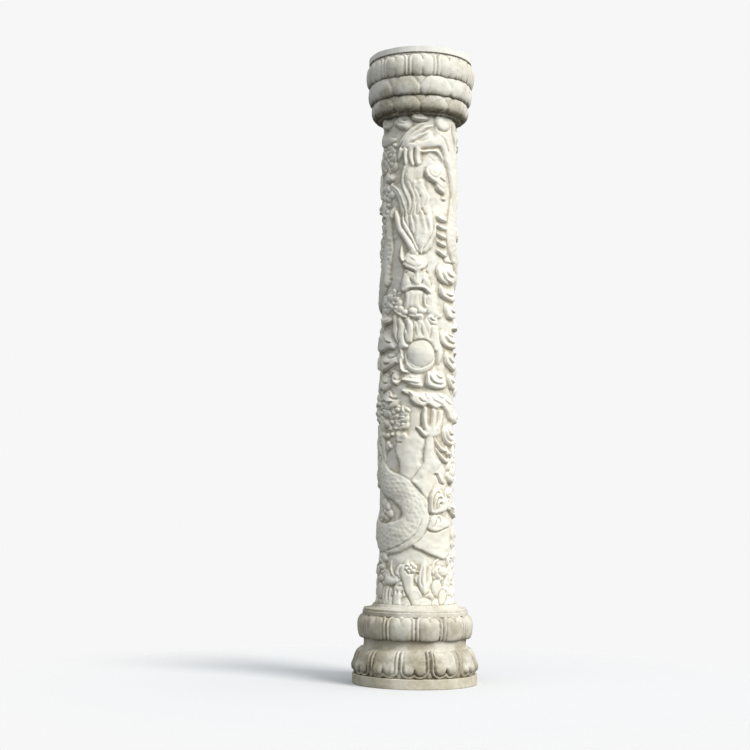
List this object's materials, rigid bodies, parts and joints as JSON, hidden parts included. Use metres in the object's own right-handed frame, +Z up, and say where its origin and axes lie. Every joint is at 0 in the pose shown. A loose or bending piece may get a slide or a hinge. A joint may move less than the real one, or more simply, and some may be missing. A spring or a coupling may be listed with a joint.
{
  "type": "dragon pillar",
  "caption": "Round stone pillar carved in relief with dragons, clouds and a pearl, between a lotus base and a petalled capital under a round slab.",
  "frame": {"origin": "middle of the underside of the foot slab", "axes": "+Z up the pillar; the front, where the upper dragon's face and the pearl are, looks along -Y"},
  "size_m": [1.1782, 1.1782, 6],
  "materials": {
    "base_stone": "weathered, carved",
    "shaft_stone": "weathered, carved",
    "capital_stone": "weathered, carved"
  },
  "bodies": {
    "root": {"lotus_base": "base_stone", "dragon_shaft": "shaft_stone", "lotus_capital": "capital_stone"}
  },
  "joints": []
}
